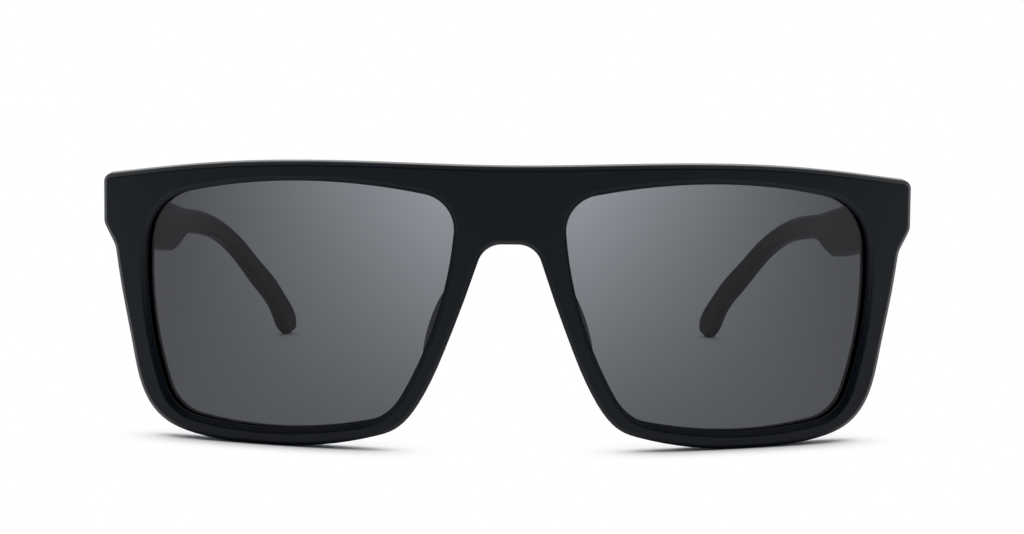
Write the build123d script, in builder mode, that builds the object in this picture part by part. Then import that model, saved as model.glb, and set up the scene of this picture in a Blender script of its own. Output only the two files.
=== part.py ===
from build123d import *
import os
from math import asin, cos, radians, sin, sqrt

# Flat top sunglasses with folding temples. Millimetres, +Z up.
# They stand on both lower rims and both temple tips, at Z = 0, with the front across X.
# The wearer looks towards -Y. Left and right are the wearer's, so left is +X.
# The left pieces are modelled, and the right ones are mirrored from them.

# Overall sizes
front_width = 147.0
front_height = 51.0
overall_depth = 152.0

# Bend and thickness of the front
front_bend_radius = 133.0        # round the wearer's face
rim_thickness = 4.4
front_edge_bevel = 0.7
back_edge_bevel = 0.5

# Outline of the front
top_corner_round = 1.6
endpiece_corner_round = 2.5
endpiece_neck_round = 4.0
arch_round = 4.3

# Lens openings
bridge_width = 19.2              # between the two openings at the lenses
outer_rim_width = 5.8
top_bar_width = 3.5
bottom_rim_width = 3.0
opening_edge_bevel = 0.8
upper_nasal_round = 6.3
upper_outer_round = 10.1
lower_outer_round = 8.2
lower_nasal_round = 10.2

# Lenses
lens_depth = 1.7                 # from the front's face to the lens
lens_thickness = 1.8
lens_lip = 0.65                  # how far the lens reaches into its groove
groove_clearance = 0.06

# Nose pads
pad_length = 17.0
pad_reach = 6.5
pad_thickness = 2.3
pad_height = 22.0
pad_splay = 14.0                 # degrees that a pad opens to the back
pad_slope = 19.5                 # degrees that a pad leans outwards to its foot
pad_bevel = 0.5

# Endpieces
endpiece_width = 4.4
endpiece_length = 4.96           # from the back of the rim to the temple
endpiece_root_height = 8.7
endpiece_root_drop = 4.7         # from the top of the front to the top of the endpiece's root
root_overlap = 0.6

# Temples
temple_thickness = 3.9           # at the hinge
temple_tip_thickness = 1.9
temple_top_height = 44.8         # at the hinge
temple_front_height = 10.8       # at the hinge
temple_edge_bevel = 0.7
butt_gap = 0.12

# Hinges
knuckle_count = 3
hinge_height = 8.0
knuckle_radius = 1.5
knuckle_gap = 0.08
knuckle_clearance = 0.15
leaf_thickness = 0.8
leaf_corner_cut = 0.7
leaf_clearance = 0.03
front_leaf_length = 4.1
temple_leaf_length = 6.8
temple_leaf_taper = 1.7
leaf_straight = 1.5              # from the knuckles to where a leaf starts to taper
web_gap = 0.05                   # between the leaf end and the butt face

# Hinge pins
pin_radius = 0.65
pin_clearance = 0.04
pin_head_radius = 1.2
pin_head_height = 0.6

# Leaf rivets, one to a leaf and filed flush with it
rivet_radius = 0.8
rivet_length = 2.6
rivet_clearance = 0.03

# Core wires
core_thickness = 1.1
core_height = 2.0
core_clearance = 0.04
core_set_back = 0.6              # from the hinge leaf back to the front end of the wire

# One overrun for all cuts
overrun = 5.0

# Outlines, as shares. Across: 0 is the edge of the bridge, 1 is half the width.
top_shares = ((0, .993), (.41, 1.0), (.71, .979), (.92, .937), (1.0, .918))
rim_shares = (
    (.9656, .667), (.950, .539), (.9155, .322), (.8513, .096), (.8122, .055), (.7559, .027),
    (.554, .001), (.460, .001), (.216, .049), (.169, .0706), (.0908, .180), (.0141, .394),
    (-.0196, .506), (-.054, .631),
)
arch_share = (-.0800, .7255)
endpiece_low_share = .7451
rim_side_share = .959
# The lens opening's sharp corners and the middles of its bowed sides, from the upper nasal corner
# by way of the top, as shares of half its width and height
opening_corner_shares = ((-1.009, .864), (.963, .779), (.808, -.906), (-.609, -.871))
opening_side_shares = ((-.019, .995), (.988, -.080), (.098, -1.0), (-.905, -.042))
# The temple from the side, along its length and up its height at the hinge
temple_top_shares = (
    (.436, .795), (.559, .743), (.730, .667), (.845, .521), (.890, .419), (.939, .303), (.971, .201),
)
temple_tip_shares = ((1.0, .050), (.9964, .0152), (.9845, 0))
temple_low_shares = (
    (.951, .109), (.910, .239), (.8285, .444), (.7386, .5625), (.657, .600), (.559, .629),
    (.408, .596), (.3464, .616), (.134, .714),
)
# The inner face of the temple from above, along its length and across to its place at the hinge
temple_plan_shares = (
    (-.05, 1.0), (.05, .999), (.248, .974), (.4526, .952), (.7386, .885), (.861, .800),
    (.951, .712), (1.03, .628),
)
# The core wire from the side
core_shares = ((-.05, .90), (.1667, .811), (.322, .739), (.412, .703), (.7386, .605), (.878, .395))
pad_place_share = .027           # of the way from the bridge to the end of the front
web_share = .94                  # of a knuckle's radius, from the pin out to the edge of its web
course_steps = 8                 # stations that set the course of the temple's faces

# Worked out from the sizes above
half_width = front_width / 2
bridge_half = bridge_width / 2
front_y = -overall_depth / 2
bend_centre_y = front_y + front_bend_radius
bend_axis = Axis((0, bend_centre_y, 0), (0, 0, 1))


def across(share):
    """X at a share of the way from the edge of the bridge to the end of the front."""
    return bridge_half + share * (half_width - bridge_half)


def on_layer(edge, depth):
    """Whether an edge away from the middle lies at one depth behind the curved face."""
    reaches = [sqrt(point.X**2 + (point.Y - bend_centre_y) ** 2) for point in (edge @ .3, edge @ .6)]
    near = all(abs(front_bend_radius - reach - depth) < groove_clearance / 2 for reach in reaches)
    return near and (edge @ .5).X > groove_clearance


def bent_layer(near, far):
    """The left half of the layer between two depths behind the curved face."""
    with BuildPart() as layer:
        with BuildSketch(Plane.XY.offset(-overrun)):
            with Locations((0, bend_centre_y)):
                Circle(front_bend_radius - near)
                Circle(front_bend_radius - far, mode=Mode.SUBTRACT)
                Rectangle(
                    front_bend_radius,
                    front_bend_radius,
                    align=(Align.MIN, Align.MAX),
                    mode=Mode.INTERSECT,
                )
        extrude(amount=front_height + 2 * overrun)
    return layer.part


# Lens opening: its plane is square to the middle of the lens
lens_reach = front_bend_radius - lens_depth
opening_in_angle = asin(bridge_half / lens_reach)
opening_out_angle = asin((across(rim_side_share) - outer_rim_width) / lens_reach)
lens_angle = (opening_in_angle + opening_out_angle) / 2
opening_width = 2 * lens_reach * sin((opening_out_angle - opening_in_angle) / 2)
opening_height = front_height - top_bar_width - bottom_rim_width
opening_plane = Plane(
    origin=(
        lens_reach * sin(lens_angle),
        bend_centre_y - lens_reach * cos(lens_angle),
        bottom_rim_width + opening_height / 2,
    ),
    x_dir=(cos(lens_angle), sin(lens_angle), 0),
    z_dir=(sin(lens_angle), -cos(lens_angle), 0),
)


def opening_prism(grow):
    """A bar with the outline of the lens opening, grown by a width all round."""
    half_x = opening_width / 2 + grow
    half_z = opening_height / 2 + grow
    corners = [(half_x * x, half_z * z) for x, z in opening_corner_shares]
    middles = [(half_x * x, half_z * z) for x, z in opening_side_shares]
    rounds = (upper_nasal_round, upper_outer_round, lower_outer_round, lower_nasal_round)
    with BuildPart() as bar:
        with BuildSketch(opening_plane.offset(3 * overrun)) as outline:
            with BuildLine():
                for corner, middle, following in zip(corners, middles, corners[1:] + corners[:1]):
                    ThreePointArc(corner, middle, following)
            make_face()
            for corner, radius in zip(corners, rounds):
                fillet(outline.vertices().sort_by_distance(corner)[0], radius + grow)
        extrude(amount=-6 * overrun)
    return bar.part


def lens_space(clearance):
    """The lens, or with a clearance the space of its groove."""
    bar = opening_prism(lens_lip + clearance)
    layer = bent_layer(lens_depth - clearance, lens_depth + lens_thickness + clearance)
    with BuildPart() as slab:
        add(bar)
        add(layer, mode=Mode.INTERSECT)
    return slab.part


# Endpiece: runs from the back of the rim to the butt face, where the temple meets it
inner_x = half_width - endpiece_width
outer_x = inner_x + temple_thickness
rim_back_y = bend_centre_y - sqrt((front_bend_radius - rim_thickness) ** 2 - inner_x**2)
root_y = rim_back_y - root_overlap
butt_y = rim_back_y + endpiece_length
butt_low = temple_top_height - temple_front_height
with BuildPart() as endpiece:
    with BuildSketch(Plane.XZ.offset(-root_y)) as root:
        with Locations(
            ((inner_x + half_width) / 2, front_height - endpiece_root_drop - endpiece_root_height / 2)
        ):
            Rectangle(endpiece_width, endpiece_root_height)
        chamfer(root.vertices(), temple_edge_bevel)
    with BuildSketch(Plane.XZ.offset(-butt_y)) as butt:
        with Locations(((inner_x + outer_x) / 2, (butt_low + temple_top_height) / 2)):
            Rectangle(temple_thickness, temple_front_height)
        chamfer(butt.vertices(), temple_edge_bevel)
    loft()

# Hinge places
pin_x = inner_x - knuckle_clearance - knuckle_radius
hinge_z = (butt_low + temple_top_height) / 2
hinge_low = hinge_z - hinge_height / 2
hinge_high = hinge_z + hinge_height / 2
knuckle_pitch = (hinge_height + knuckle_gap) / knuckle_count
knuckle_height = knuckle_pitch - knuckle_gap
temple_y = butt_y + butt_gap
front_leaf_end_y = butt_y - web_gap
temple_leaf_start_y = temple_y + web_gap
temple_leaf_z = hinge_z - temple_leaf_taper / 2
front_rivet_y = front_leaf_end_y - front_leaf_length / 2
temple_rivet_y = temple_leaf_start_y + temple_leaf_length / 2
inner_plane = Plane(origin=(inner_x, 0, 0), x_dir=(0, 1, 0), z_dir=(1, 0, 0))


def leaf_block(near_y, turn_y, far_y, taper, grow, start, end):
    """A slab with the outline of a hinge leaf, between two depths from the inner face."""
    low = hinge_low - grow
    high = hinge_high + grow
    corners = ((near_y, low), (near_y, high), (turn_y, high), (far_y, high - taper), (far_y, low))
    with BuildPart() as block:
        with BuildSketch(inner_plane.offset(start)) as outline:
            with BuildLine():
                Polyline(*corners, close=True)
            make_face()
            chamfer(outline.vertices().sort_by(lambda v: abs(v.X - far_y))[:2], leaf_corner_cut)
        extrude(amount=end - start)
    return block.part


def rivet(y, z, grow, before):
    """The rivet of a leaf, or its hole, grown and begun before the leaf."""
    with BuildPart() as shank:
        with BuildSketch(inner_plane.offset(-before)):
            with Locations((y, z)):
                Circle(rivet_radius + grow)
        extrude(amount=before + rivet_length + grow)
    return shank.part


def hinge_half(plate, hole, numbers, web_from_y, web_to_y):
    """A leaf with its knuckles, counted from the bottom, bored for the pin."""
    with BuildPart() as half:
        add(plate)
        for number in numbers:
            low = hinge_low + number * knuckle_pitch
            with Locations((pin_x, butt_y, low)):
                Cylinder(knuckle_radius, knuckle_height, align=(Align.CENTER, Align.CENTER, Align.MIN))
            with Locations((pin_x, web_from_y, low)):
                Box(
                    inner_x + leaf_thickness - pin_x,
                    web_to_y - web_from_y,
                    knuckle_height,
                    align=(Align.MIN, Align.MIN, Align.MIN),
                )
        with Locations((pin_x, butt_y, hinge_z)):
            Cylinder(pin_radius + pin_clearance, hinge_height + overrun, mode=Mode.SUBTRACT)
        add(hole, mode=Mode.SUBTRACT)
    return half.part


# Hinge leaves, pins and rivets
web_reach = web_share * knuckle_radius
front_leaf_far_y = front_leaf_end_y - front_leaf_length
temple_leaf_far_y = temple_leaf_start_y + temple_leaf_length
front_turn_y = front_leaf_end_y - leaf_straight
temple_turn_y = temple_leaf_start_y + leaf_straight
front_plate = leaf_block(
    front_leaf_end_y, front_turn_y, front_leaf_far_y, 0, 0, 0, leaf_thickness
)
front_pocket = leaf_block(
    butt_y + overrun,
    front_turn_y,
    front_leaf_far_y - leaf_clearance,
    0,
    leaf_clearance,
    -overrun,
    leaf_thickness,
)
temple_plate = leaf_block(
    temple_leaf_start_y, temple_turn_y, temple_leaf_far_y, temple_leaf_taper, 0, 0, leaf_thickness
)
temple_pocket = leaf_block(
    temple_leaf_start_y - overrun,
    temple_turn_y,
    temple_leaf_far_y + leaf_clearance,
    temple_leaf_taper,
    leaf_clearance,
    -overrun,
    leaf_thickness,
)
front_hole = rivet(front_rivet_y, hinge_z, rivet_clearance, overrun)
temple_hole = rivet(temple_rivet_y, temple_leaf_z, rivet_clearance, overrun)
front_knuckles = range(0, knuckle_count, 2)
temple_knuckles = range(1, knuckle_count, 2)
front_hinge = hinge_half(
    front_plate, front_hole, front_knuckles, butt_y - web_reach, front_leaf_end_y
)
temple_hinge = hinge_half(
    temple_plate, temple_hole, temple_knuckles, temple_leaf_start_y, butt_y + web_reach
)
front_rivet = rivet(front_rivet_y, hinge_z, 0, 0)
temple_rivet = rivet(temple_rivet_y, temple_leaf_z, 0, 0)

with BuildPart() as hinge_pin:
    with Locations((pin_x, butt_y, hinge_low)):
        Cylinder(pin_radius, hinge_height, align=(Align.CENTER, Align.CENTER, Align.MIN))
    with Locations((pin_x, butt_y, hinge_high)):
        Cylinder(pin_head_radius, pin_head_height, align=(Align.CENTER, Align.CENTER, Align.MIN))


# Front: half a rim and bridge, cut from the bent sheet and bevelled, then mirrored
opening = opening_prism(0)
groove = lens_space(groove_clearance)
front_sheet = bent_layer(0, rim_thickness)
lens = lens_space(0)
with BuildPart() as front_half:
    with BuildSketch(Plane.XZ.offset(overrun - front_y)) as outline:
        with BuildLine():
            top = Spline(
                [(half_width * x, front_height * z) for x, z in top_shares], tangents=[(1, 0), (1, -.16)]
            )
            side = Line(top @ 1, (half_width, front_height * endpiece_low_share))
            rim = Spline([(across(x), front_height * z) for x, z in rim_shares])
            Line(side @ 1, rim @ 0)
            arch = Line(rim @ 1, (across(arch_share[0]), front_height * arch_share[1]))
            crown = Line(arch @ 1, (0, (arch @ 1).Y))
            Line(crown @ 1, top @ 0)
        make_face()
        fillet(outline.vertices().sort_by_distance(side @ 0)[0], top_corner_round)
        fillet(outline.vertices().sort_by_distance(side @ 1)[0], endpiece_corner_round)
        fillet(outline.vertices().sort_by_distance(rim @ 0)[0], endpiece_neck_round)
        fillet(outline.vertices().sort_by_distance(arch @ 1)[0], arch_round)
    extrude(amount=-(overrun + front_bend_radius))
    add(front_sheet, mode=Mode.INTERSECT)
    chamfer(front_half.edges().filter_by(lambda e: on_layer(e, 0)), front_edge_bevel)
    chamfer(front_half.edges().filter_by(lambda e: on_layer(e, rim_thickness)), back_edge_bevel)
    add(opening, mode=Mode.SUBTRACT)
    mouth = front_half.edges(Select.LAST).filter_by(lambda e: on_layer(e, 0))
    chamfer(mouth, opening_edge_bevel)
    add(groove, mode=Mode.SUBTRACT)
    add(endpiece.part)
    add(front_pocket, mode=Mode.SUBTRACT)
    add(front_hole, mode=Mode.SUBTRACT)
with BuildPart() as frame_front:
    add(front_half.part)
    mirror(front_half.part, about=Plane.YZ)


# Temple: its side outline meets the ribbon that it makes from above
temple_length = overall_depth / 2 - temple_y


def along(share):
    """Y at a share of the temple's length from the hinge."""
    return temple_y + share * temple_length


def side_points(shares):
    """Points in Y and Z from shares of the temple's length and of its height at the hinge."""
    return [(along(y), temple_top_height * z) for y, z in shares]


def beside(curve, first, last):
    """Points to the right of a flat curve, as far as the first distance at its start and the last at its end."""
    points = []
    for step in range(course_steps + 1):
        place = step / course_steps
        ahead = curve % place
        distance = first + (last - first) * place**2
        points.append(curve @ place + distance * Vector(ahead.Y, -ahead.X))
    return points


def band(curve, near, far, plane, height):
    """A bar square to a plane. Near and far are each a first and a last distance from a curve on it."""
    with BuildPart() as bar:
        with BuildSketch(plane):
            with BuildLine():
                inner = Spline(beside(curve, *near))
                outer = Spline(beside(curve, *far))
                Line(inner @ 0, outer @ 0)
                Line(inner @ 1, outer @ 1)
            make_face()
        extrude(amount=height)
    return bar.part


plan_course = Spline([(inner_x * x, along(y)) for y, x in temple_plan_shares], tangents=[(0, 1), (-.7, 1)])
core_course = Spline(side_points(core_shares))
temple_thicknesses = (temple_thickness, temple_tip_thickness)
low_plane = Plane.XY.offset(-overrun)
middle_plane = Plane.YZ.offset(-overrun)
core_start_y = temple_leaf_far_y + core_set_back
band_height = temple_top_height + 2 * overrun
bar_width = half_width + 2 * overrun


def core_space(clearance):
    """The core wire in the middle of the temple, or with a clearance the channel that it lies in."""
    half = core_thickness / 2 + clearance
    near = [thickness / 2 - half for thickness in temple_thicknesses]
    far = [thickness / 2 + half for thickness in temple_thicknesses]
    flat_band = band(plan_course, near, far, low_plane, band_height)
    reach = core_height / 2 + clearance
    wire_bar = band(core_course, (-reach, -reach), (reach, reach), middle_plane, bar_width)
    with BuildPart() as core:
        add(wire_bar)
        add(flat_band, mode=Mode.INTERSECT)
        split(bisect_by=Plane.XZ.offset(clearance - core_start_y), keep=Keep.BOTTOM)
    return core.part


temple_band = band(plan_course, (0, 0), temple_thicknesses, low_plane, band_height)
temple_core = core_space(0)
core_channel = core_space(core_clearance)
with BuildPart() as temple:
    with BuildSketch(middle_plane):
        with BuildLine():
            butt_top = [(temple_y, temple_top_height)]
            butt_end = [(temple_y, butt_low)]
            round_edge = side_points(temple_top_shares + temple_tip_shares + temple_low_shares)
            edge = Spline(butt_top + round_edge + butt_end)
            Line(edge @ 1, edge @ 0)
        make_face()
    extrude(amount=bar_width)
    add(temple_band, mode=Mode.INTERSECT)
    chamfer(temple.edges().filter_by(lambda e: (e @ .5).Y > temple_y + overrun), temple_edge_bevel)
    add(core_channel, mode=Mode.SUBTRACT)
    add(temple_pocket, mode=Mode.SUBTRACT)
    add(temple_hole, mode=Mode.SUBTRACT)


# Nose pad: a round fin on the back of the nasal rim
pad_x = across(pad_place_share)
pad_round = (pad_length**2 / 4 + pad_reach**2) / (2 * pad_reach)
pad_back_y = bend_centre_y - sqrt((front_bend_radius - rim_thickness) ** 2 - pad_x**2)
pad_along = Vector(sin(radians(pad_slope)), 0, -cos(radians(pad_slope)))
pad_side = pad_along.cross(Vector(0, 1, 0))
pad_face = pad_side * cos(radians(pad_splay)) - Vector(0, sin(radians(pad_splay)), 0)
pad_plane = Plane(origin=(pad_x, pad_back_y, pad_height), x_dir=pad_along, z_dir=pad_face)
pad_space = bent_layer(rim_thickness, rim_thickness + pad_length)
with BuildPart() as nose_pad:
    with BuildSketch(pad_plane.offset(-pad_thickness / 2)):
        with Locations((0, pad_reach - pad_round)):
            Circle(pad_round)
    extrude(amount=pad_thickness)
    chamfer(nose_pad.edges(), pad_bevel)
    add(pad_space, mode=Mode.INTERSECT)


# Files: the front, and each other piece for the left and the right side
os.makedirs("parts", exist_ok=True)
frame_front.part.label = "frame_front"
export_step(frame_front.part, "parts/frame_front.step")
left_pieces = {
    "lens": lens,
    "nose_pad": nose_pad.part,
    "temple": temple.part,
    "temple_core": temple_core,
    "front_hinge": front_hinge,
    "temple_hinge": temple_hinge,
    "hinge_pin": hinge_pin.part,
    "front_leaf_rivet": front_rivet,
    "temple_leaf_rivet": temple_rivet,
}
for name, piece in left_pieces.items():
    with BuildPart() as right_piece:
        mirror(piece, about=Plane.YZ)
    piece.label = f"{name}_left"
    right_piece.part.label = f"{name}_right"
    export_step(piece, f"parts/{name}_left.step")
    export_step(right_piece.part, f"parts/{name}_right.step")
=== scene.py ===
from math import cos, radians, sin

import bpy
from mathutils import Matrix, Vector

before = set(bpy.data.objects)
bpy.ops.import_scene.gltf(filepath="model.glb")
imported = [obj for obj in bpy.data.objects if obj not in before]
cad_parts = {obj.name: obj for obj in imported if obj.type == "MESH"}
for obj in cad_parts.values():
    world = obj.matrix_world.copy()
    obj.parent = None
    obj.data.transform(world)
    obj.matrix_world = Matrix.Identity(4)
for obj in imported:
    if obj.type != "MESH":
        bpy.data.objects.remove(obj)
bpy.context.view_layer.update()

# Blender measures in metres. Sizes are written in millimetres and multiplied by MM.
MM = 0.001

# A Mix node has a set of sockets for each kind of data. These are the places of its colour sockets.
MIX_SHARE = 0
MIX_FROM = 6
MIX_TO = 7
MIX_COLOUR = 2


def linear(code):
    """A colour written as sRGB hex, turned to linear by the sRGB curve."""
    parts = [int(code[place:place + 2], 16) / 255 for place in (0, 2, 4)]
    curve = [part / 12.92 if part <= 0.04045 else ((part + 0.055) / 1.055) ** 2.4 for part in parts]
    return (*curve, 1.0)


def new_material(name):
    """A material with its node tree and its principled shader."""
    material = bpy.data.materials.new(name)
    material.use_nodes = True
    tree = material.node_tree
    return material, tree, tree.nodes["Principled BSDF"]


def node(tree, kind, links=None, values=None, **settings):
    """Adds a node: settings are its properties, values its unlinked inputs, links its linked inputs."""
    added = tree.nodes.new(kind)
    for key, value in settings.items():
        setattr(added, key, value)
    for key, value in (values or {}).items():
        added.inputs[key].default_value = value
    for key, source in (links or {}).items():
        tree.links.new(source, added.inputs[key])
    return added


# Acetate of the front, the temples and the nose pads

FRONT_EDGE_ROUND = 0.40 * MM
TEMPLE_EDGE_ROUND = 0.25 * MM
ACETATE_EDGE_SAMPLES = 12
# Tumbled acetate has a grain of a few hundredths of a millimetre. It is coarser here, so that it shows.
GRAIN = 0.30 * MM
GRAIN_DEPTH = 0.01 * MM
# The polish differs a little from patch to patch.
POLISH_PATCH = 22 * MM
POLISH_SPREAD = 0.04


def acetate(name, colour, roughness, sheen, grain, edge_round):
    """Matte black acetate, tumbled: a soft sheen, a fine grain in it, and edges that the drum rounded."""
    material, tree, shader = new_material(name)
    place = node(tree, "ShaderNodeTexCoord").outputs["Object"]
    rounded = node(
        tree, "ShaderNodeBevel", values={"Radius": edge_round}, samples=ACETATE_EDGE_SAMPLES
    ).outputs["Normal"]
    fine = node(
        tree,
        "ShaderNodeTexNoise",
        links={"Vector": place},
        values={"Scale": 1 / GRAIN, "Detail": 3.0},
    ).outputs["Fac"]
    patch = node(
        tree,
        "ShaderNodeTexNoise",
        links={"Vector": place},
        values={"Scale": 1 / POLISH_PATCH, "Detail": 2.0},
    ).outputs["Fac"]
    dull = node(
        tree,
        "ShaderNodeMapRange",
        links={"Value": patch},
        values={"To Min": roughness - POLISH_SPREAD, "To Max": roughness + POLISH_SPREAD},
    ).outputs["Result"]
    bump = node(
        tree,
        "ShaderNodeBump",
        links={"Height": fine, "Normal": rounded},
        values={"Strength": grain, "Distance": GRAIN_DEPTH},
    ).outputs["Normal"]
    shader.inputs["Base Color"].default_value = linear(colour)
    shader.inputs["Specular IOR Level"].default_value = sheen
    tree.links.new(dull, shader.inputs["Roughness"])
    tree.links.new(bump, shader.inputs["Normal"])
    return material


# The front is almost black and slightly cold, with light only along its edges.
front_acetate = acetate(
    "matte_black_acetate_front",
    "0a141d",
    roughness=0.33,
    sheen=0.20,
    grain=0.15,
    edge_round=FRONT_EDGE_ROUND,
)
# The temples are smoother and take more light on their inner sides.
temple_acetate = acetate(
    "matte_black_acetate_temple",
    "111417",
    roughness=0.33,
    sheen=0.50,
    grain=0.05,
    edge_round=TEMPLE_EDGE_ROUND,
)
# The pads are duller, and a shade lighter than the front that they sit on.
pad_acetate = acetate(
    "matte_black_acetate_pad",
    "16181a",
    roughness=0.36,
    sheen=0.24,
    grain=0.12,
    edge_round=TEMPLE_EDGE_ROUND,
)


# Metal of the hinges, their screws and rivets, and the core wires

METAL_EDGE_ROUND = 0.12 * MM
METAL_EDGE_SAMPLES = 6
# Stamping and drawing leave lines of about 0.03 mm. They are coarser here, so that a close view has them.
DRAWN_LINE = 0.12 * MM
LINE_STRETCH = (1.0, 0.08, 1.0)
LINE_DEPTH = 0.01 * MM
LINE_STRENGTH = 0.15
SATIN_SPREAD = 0.07


def satin_metal(name, colour, roughness):
    """Nickel silver or steel: a satin face with fine lines from front to back and softened edges."""
    material, tree, shader = new_material(name)
    place = node(tree, "ShaderNodeTexCoord").outputs["Object"]
    stretched = node(
        tree, "ShaderNodeMapping", links={"Vector": place}, values={"Scale": LINE_STRETCH}
    ).outputs["Vector"]
    lines = node(
        tree,
        "ShaderNodeTexNoise",
        links={"Vector": stretched},
        values={"Scale": 1 / DRAWN_LINE, "Detail": 3.0},
    ).outputs["Fac"]
    satin = node(
        tree,
        "ShaderNodeMapRange",
        links={"Value": lines},
        values={"To Min": roughness - SATIN_SPREAD, "To Max": roughness + SATIN_SPREAD},
    ).outputs["Result"]
    rounded = node(
        tree, "ShaderNodeBevel", values={"Radius": METAL_EDGE_ROUND}, samples=METAL_EDGE_SAMPLES
    ).outputs["Normal"]
    bump = node(
        tree,
        "ShaderNodeBump",
        links={"Height": lines, "Normal": rounded},
        values={"Strength": LINE_STRENGTH, "Distance": LINE_DEPTH},
    ).outputs["Normal"]
    shader.inputs["Base Color"].default_value = linear(colour)
    shader.inputs["Metallic"].default_value = 1.0
    tree.links.new(satin, shader.inputs["Roughness"])
    tree.links.new(bump, shader.inputs["Normal"])
    return material


# The hinge leaves are a warm grey with a soft shine, the screws whiter and brighter.
hinge_metal = satin_metal("stamped_nickel_silver", "b9b8b2", roughness=0.34)
screw_metal = satin_metal("turned_stainless_steel", "c4c4c2", roughness=0.28)
# The rivets are filed flush, which leaves them dull. The core wires lie inside the temples.
rivet_metal = satin_metal("filed_nickel_silver", "bdbab0", roughness=0.36)
core_metal = satin_metal("drawn_nickel_silver_wire", "b2b0a8", roughness=0.32)


# Lenses

# The dye is deepest at the outer line, and palest where the nasal and the high line meet.
# At the low line, LENS_LOW_SHARE of that change is left.
# The first two lines are measured from the middle of the front, the others from the table.
LENS_NASAL = 12.9 * MM
LENS_OUTER = 59.9 * MM
LENS_LOW = 3.5 * MM
LENS_HIGH = 47.4 * MM
LENS_LOW_SHARE = 0.185
# Light passes the front and the back face, so each tint acts twice.
DEEP_TINT = "8a8c90"
PALE_TINT = "c0c2c6"
# The resin has an index of 1.5. Its anti-reflective coat makes it mirror as little as one of 1.25.
COAT_IOR = 1.25
POLISHED = 0.0


def dyed_lens(name):
    """Dyed resin lens: a grey tint that thins out towards the nose and the top, and a coated gloss."""
    material, tree, shader = new_material(name)
    tree.nodes.remove(shader)
    place = node(tree, "ShaderNodeTexCoord").outputs["Object"]
    parts = node(tree, "ShaderNodeSeparateXYZ", links={"Vector": place}).outputs
    outward = node(
        tree, "ShaderNodeMath", links={0: parts["X"]}, operation="ABSOLUTE"
    ).outputs["Value"]
    nasal = node(
        tree,
        "ShaderNodeMapRange",
        links={"Value": outward},
        values={"From Min": LENS_OUTER, "From Max": LENS_NASAL},
    ).outputs["Result"]
    upper = node(
        tree,
        "ShaderNodeMapRange",
        links={"Value": parts["Z"]},
        values={"From Min": LENS_LOW, "From Max": LENS_HIGH, "To Min": LENS_LOW_SHARE},
    ).outputs["Result"]
    thin = node(
        tree, "ShaderNodeMath", links={0: nasal, 1: upper}, operation="MULTIPLY"
    ).outputs["Value"]
    tint = node(
        tree,
        "ShaderNodeMix",
        links={MIX_SHARE: thin},
        values={MIX_FROM: linear(DEEP_TINT), MIX_TO: linear(PALE_TINT)},
        data_type="RGBA",
    ).outputs[MIX_COLOUR]
    dye = node(tree, "ShaderNodeBsdfTransparent", links={"Color": tint}).outputs["BSDF"]
    gloss = node(
        tree,
        "ShaderNodeBsdfGlossy",
        values={"Color": linear("ffffff"), "Roughness": POLISHED},
    ).outputs["BSDF"]
    angle = node(tree, "ShaderNodeFresnel", values={"IOR": COAT_IOR}).outputs["Fac"]
    lens = node(
        tree, "ShaderNodeMixShader", links={"Fac": angle, 1: dye, 2: gloss}
    ).outputs["Shader"]
    tree.links.new(lens, tree.nodes["Material Output"].inputs["Surface"])
    return material


lens_tint = dyed_lens("grey_dyed_resin_lens")

NODE_MATERIALS = {
    "frame_front": front_acetate,
    "temple": temple_acetate,
    "nose_pad": pad_acetate,
    "lens": lens_tint,
    "temple_core": core_metal,
    "front_hinge": hinge_metal,
    "temple_hinge": hinge_metal,
    "hinge_pin": screw_metal,
    "front_leaf_rivet": rivet_metal,
    "temple_leaf_rivet": rivet_metal,
}
for name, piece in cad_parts.items():
    kind = name.removesuffix("_left").removesuffix("_right")
    piece.data.materials.clear()
    piece.data.materials.append(NODE_MATERIALS[kind])


# Stage: a white table in a room that is white behind the glasses and dim behind the camera

TABLE_FRONT = -900 * MM
TABLE_BACK = 3000 * MM
TABLE_HALF_WIDTH = 1600 * MM
LAMINATE_ROUGHNESS = 0.6
LAMINATE_SHEEN = 0.1
# How far a rim or a tip dims the table beside it, and how open a place is where shade begins and ends.
CONTACT_REACH = 12 * MM
CONTACT_SHADED = 0.35
CONTACT_OPEN = 0.95
CONTACT_SAMPLES = 16
# The room turns from dim to white between these two values of a direction's part towards the back.
DIM_SIDE = -0.35
WHITE_SIDE = 0.5
DIM_STUDIO = "5b626a"
WHITE_WALL = "ffffff"


def seen_or_mirrored(tree):
    """One for a ray from the camera, and for one that a metal or a lens sends on."""
    path = node(tree, "ShaderNodeLightPath").outputs
    seen = node(
        tree,
        "ShaderNodeMath",
        links={0: path["Is Camera Ray"], 1: path["Is Glossy Ray"]},
        operation="MAXIMUM",
    ).outputs["Value"]
    return node(
        tree,
        "ShaderNodeMath",
        links={0: seen, 1: path["Is Transmission Ray"]},
        operation="MAXIMUM",
    ).outputs["Value"]


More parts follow.
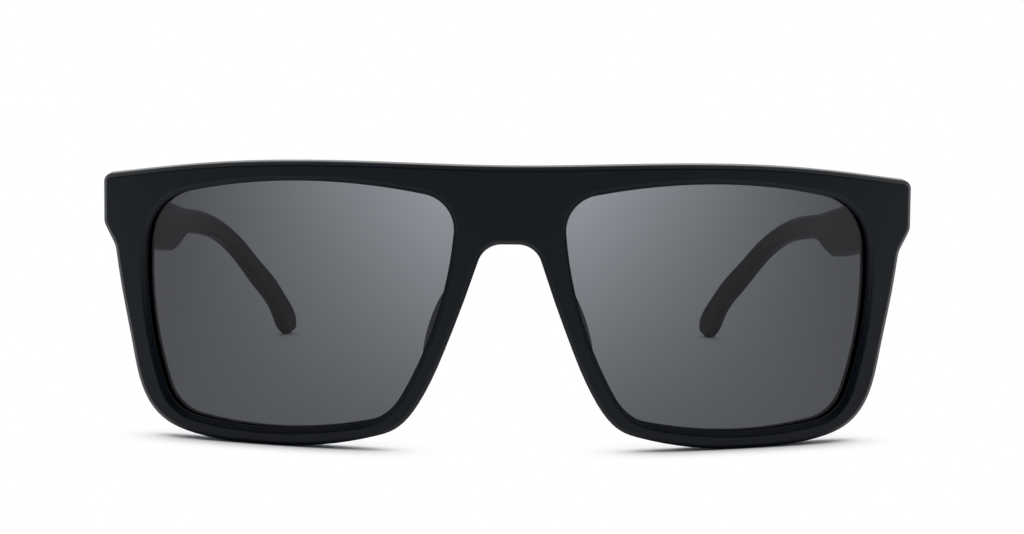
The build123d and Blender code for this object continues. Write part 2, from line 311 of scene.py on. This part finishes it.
def white_table():
    """Matte white laminate: plain white where it is open, shaded where a rim or a tip stands close."""
    material, tree, shader = new_material("white_laminate_table")
    shader.inputs["Base Color"].default_value = linear("f2f4f6")
    shader.inputs["Roughness"].default_value = LAMINATE_ROUGHNESS
    shader.inputs["Specular IOR Level"].default_value = LAMINATE_SHEEN
    near = node(
        tree,
        "ShaderNodeAmbientOcclusion",
        values={"Distance": CONTACT_REACH},
        samples=CONTACT_SAMPLES,
    ).outputs["AO"]
    open_share = node(
        tree,
        "ShaderNodeMapRange",
        links={"Value": near},
        values={"From Min": CONTACT_SHADED, "From Max": CONTACT_OPEN},
        interpolation_type="SMOOTHSTEP",
    ).outputs["Result"]
    plain = node(
        tree,
        "ShaderNodeMath",
        links={0: seen_or_mirrored(tree), 1: open_share},
        operation="MULTIPLY",
    ).outputs["Value"]
    white = node(tree, "ShaderNodeEmission", values={"Strength": 1.0}).outputs["Emission"]
    top = node(
        tree, "ShaderNodeMixShader", links={"Fac": plain, 1: shader.outputs["BSDF"], 2: white}
    ).outputs["Shader"]
    tree.links.new(top, tree.nodes["Material Output"].inputs["Surface"])
    return material


def white_room():
    """A world that lights the glasses from behind, and is white wherever the camera sees it."""
    world = bpy.data.worlds.new("white_room")
    world.use_nodes = True
    tree = world.node_tree
    direction = node(tree, "ShaderNodeTexCoord").outputs["Generated"]
    depth = node(tree, "ShaderNodeSeparateXYZ", links={"Vector": direction}).outputs["Y"]
    lit = node(
        tree,
        "ShaderNodeMapRange",
        links={"Value": depth},
        values={"From Min": DIM_SIDE, "From Max": WHITE_SIDE},
        interpolation_type="SMOOTHSTEP",
    ).outputs["Result"]
    seen = node(tree, "ShaderNodeLightPath").outputs["Is Camera Ray"]
    level = node(
        tree, "ShaderNodeMath", links={0: lit, 1: seen}, operation="MAXIMUM"
    ).outputs["Value"]
    shade = node(
        tree,
        "ShaderNodeMix",
        links={MIX_SHARE: level},
        values={MIX_FROM: linear(DIM_STUDIO), MIX_TO: linear(WHITE_WALL)},
        data_type="RGBA",
    ).outputs[MIX_COLOUR]
    tree.links.new(shade, tree.nodes["Background"].inputs["Color"])
    return world


table_mesh = bpy.data.meshes.new("table")
table_mesh.from_pydata(
    [
        (-TABLE_HALF_WIDTH, TABLE_FRONT, 0),
        (TABLE_HALF_WIDTH, TABLE_FRONT, 0),
        (TABLE_HALF_WIDTH, TABLE_BACK, 0),
        (-TABLE_HALF_WIDTH, TABLE_BACK, 0),
    ],
    [],
    [(0, 1, 2, 3)],
)
table_mesh.materials.append(white_table())
table = bpy.data.objects.new("table", table_mesh)
bpy.context.scene.collection.objects.link(table)

bpy.context.scene.world = white_room()

# Soft box above and behind the glasses, aimed at the origin: it draws the light top edges
BOX_PLACE = Vector((0, 500, 800)) * MM
BOX_WIDTH = 900 * MM
BOX_DEPTH = 700 * MM
BOX_WATTS = 6.0

box_data = bpy.data.lights.new("top_box", "AREA")
box_data.shape = "RECTANGLE"
box_data.size = BOX_WIDTH
box_data.size_y = BOX_DEPTH
box_data.energy = BOX_WATTS
top_box = bpy.data.objects.new("top_box", box_data)
bpy.context.scene.collection.objects.link(top_box)
top_box.location = BOX_PLACE
top_box.rotation_euler = (-BOX_PLACE).to_track_quat("-Z", "Y").to_euler()

# Camera, fitted to the photograph: in front, a little above and to the wearer's right, aimed at the bridge
CAMERA_PLACE = Vector((-8.33, -575.92, 91.41)) * MM
CAMERA_PITCH = radians(6.647)
CAMERA_YAW = radians(1.0)
CAMERA_ROLL = radians(0.62)
FOCAL_PIXELS = 2880
IMAGE_WIDTH = 1024
SENSOR_WIDTH = 36.0
NEAREST_SEEN = 10 * MM
FARTHEST_SEEN = 20000 * MM

ahead = Vector(
    (
        sin(CAMERA_YAW) * cos(CAMERA_PITCH),
        cos(CAMERA_YAW) * cos(CAMERA_PITCH),
        -sin(CAMERA_PITCH),
    )
)
level_line = Vector((cos(CAMERA_YAW), -sin(CAMERA_YAW), 0))
above = level_line.cross(ahead)
right = cos(CAMERA_ROLL) * level_line + sin(CAMERA_ROLL) * above
up = cos(CAMERA_ROLL) * above - sin(CAMERA_ROLL) * level_line
turned = Matrix((right, up, -ahead)).transposed().to_4x4()

camera_data = bpy.data.cameras.new("camera")
camera_data.sensor_width = SENSOR_WIDTH
camera_data.lens = FOCAL_PIXELS / IMAGE_WIDTH * SENSOR_WIDTH
camera_data.clip_start = NEAREST_SEEN
camera_data.clip_end = FARTHEST_SEEN
camera = bpy.data.objects.new("camera", camera_data)
bpy.context.scene.collection.objects.link(camera)
camera.matrix_world = Matrix.Translation(CAMERA_PLACE) @ turned
bpy.context.scene.camera = camera
bpy.context.scene.view_settings.view_transform = "Standard"
